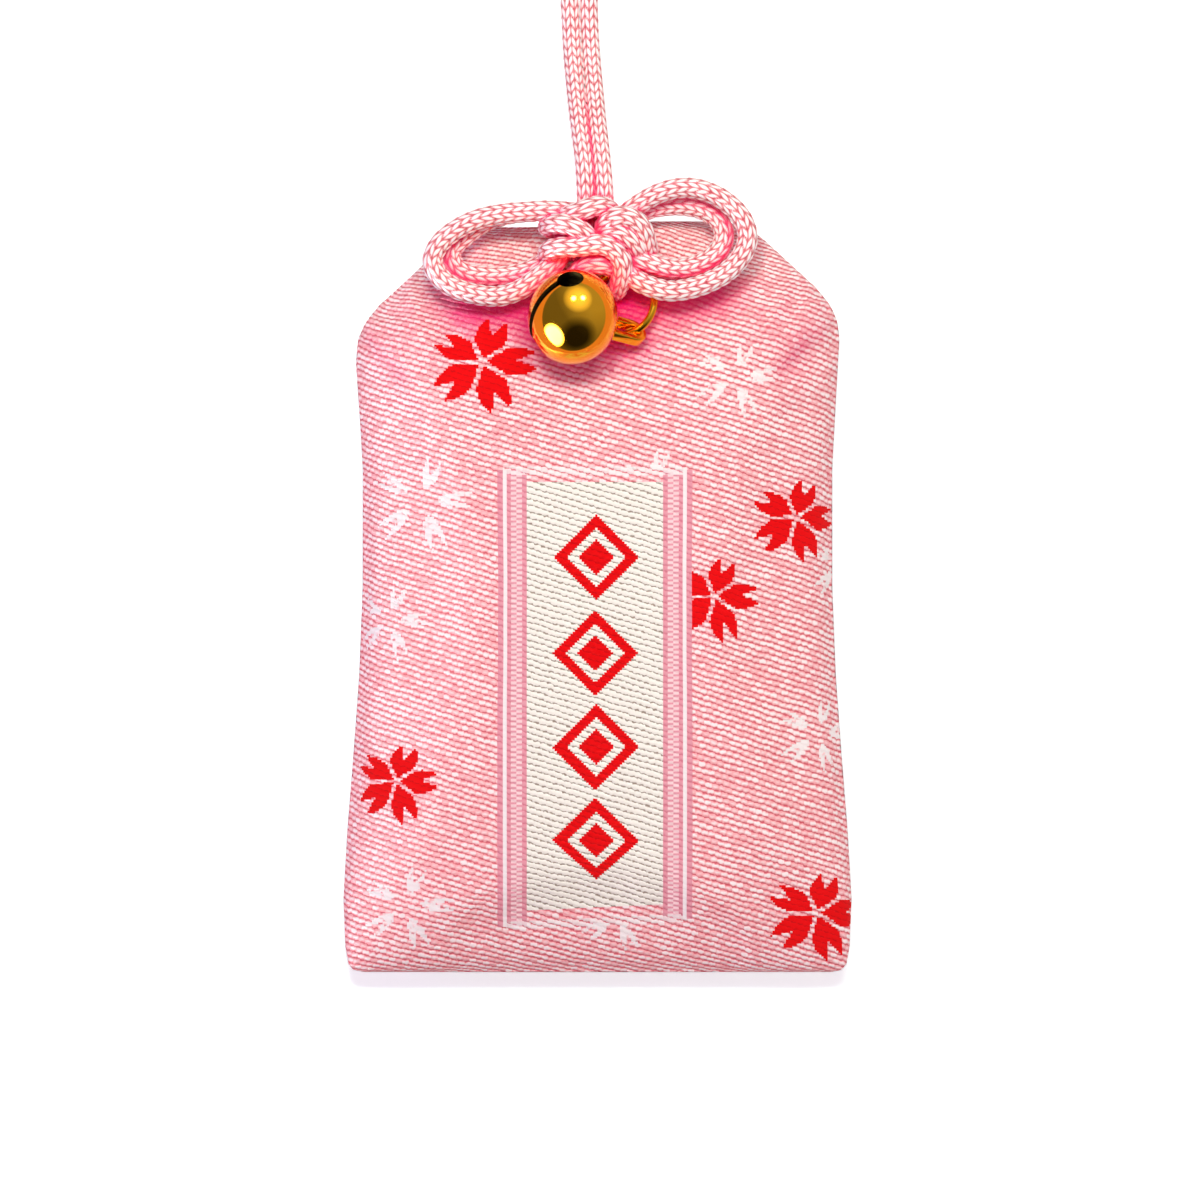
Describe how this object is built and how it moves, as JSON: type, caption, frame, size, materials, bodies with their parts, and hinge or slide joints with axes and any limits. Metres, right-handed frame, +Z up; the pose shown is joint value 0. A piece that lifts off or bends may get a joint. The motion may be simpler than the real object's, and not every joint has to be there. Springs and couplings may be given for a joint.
{
  "type": "omamori charm",
  "caption": "Pink brocade charm bag with woven blossoms, a braided cord tied in a double knot with double bows, a hanging loop and a gold jingle bell on a ring",
  "frame": {"origin": "centre of the bag's footprint, on the surface that its flat back lies on", "axes": "X across the bag, Y from the bag's bottom to the knot, Z up out of the front cloth"},
  "size_m": [0.05, 0.1423, 0.0175],
  "materials": {
    "brocade": "satin twill with woven red and white blossoms",
    "wadding": "soft white batting",
    "card": "plain",
    "paper": "plain",
    "slip_wood": "planed",
    "cord": "glossy braid",
    "ring_gold": "bright",
    "bell_gold": "mirror bright plating",
    "pellet_steel": "plain"
  },
  "bodies": {
    "charm": {"front_panel": "brocade", "back_panel": "brocade", "wadding": "wadding", "stiffening_card": "card", "slip_wrapper": "paper", "prayer_slip": "slip_wood", "left_bow": "cord", "right_bow": "cord", "knot_left_strand": "cord", "knot_right_strand": "cord", "loop_root": "cord"},
    "loop": {"hanging_loop": "cord"},
    "ring": {"jump_ring": "ring_gold"},
    "bell": {"bell_shell": "bell_gold"},
    "pellet": {"bell_pellet": "pellet_steel"}
  },
  "joints": [
    {"name": "loop_lift", "type": "hinge", "parent": "charm", "child": "loop", "pos_m": [-0.00043, 0.0374, 0.00898], "axis": [1, 0, 0], "range_deg": [0, 90]},
    {"name": "ring_swing", "type": "hinge", "parent": "charm", "child": "ring", "pos_m": [0.0018, 0.0282, 0.0079], "axis": [0, 0, 1], "range_deg": [0, 20]},
    {"name": "bell_swing", "type": "hinge", "parent": "ring", "child": "bell", "pos_m": [0.0034, 0.0237, 0.00943], "axis": [0.2341, 0.9722, 0], "range_deg": [0, 60]},
    {"name": "pellet_rattle", "type": "slide", "parent": "bell", "child": "pellet", "axis": [0, 0, 1], "range_m": [0, 0.0044]}
  ]
}
